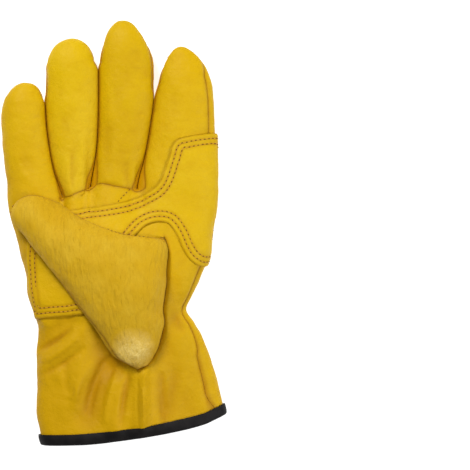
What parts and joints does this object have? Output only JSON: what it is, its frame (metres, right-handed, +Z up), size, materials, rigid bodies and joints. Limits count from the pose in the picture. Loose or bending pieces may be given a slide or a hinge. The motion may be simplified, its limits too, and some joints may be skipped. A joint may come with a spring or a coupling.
{
  "type": "leather work glove",
  "caption": "Right-hand leather work glove lying on its back, palm up, thumb folded over a stitched palm patch, with a flared cuff edged in black.",
  "frame": {"origin": "on the floor under the middle of the hand, where the back of the glove rests", "axes": "+Y towards the fingertips, +X towards the index finger's side, +Z up out of the palm"},
  "size_m": [0.1316, 0.2476, 0.0385],
  "materials": {
    "grain_leather": "soft satin grain leather, golden yellow",
    "thumb_leather": "rougher, nearly matt leather, golden yellow",
    "patch_leather": "soft satin grain leather, golden yellow",
    "edging": "black, low sheen"
  },
  "bodies": {
    "root": {"palm": "grain_leather", "back": "grain_leather", "ring_front": "grain_leather", "middle_front": "grain_leather", "little_ring_fork": "grain_leather", "ring_middle_fork": "grain_leather", "middle_index_fork": "grain_leather", "thumb_front": "thumb_leather", "thumb_back": "thumb_leather", "palm_patch": "patch_leather", "cuff_binding": "edging"}
  },
  "joints": []
}
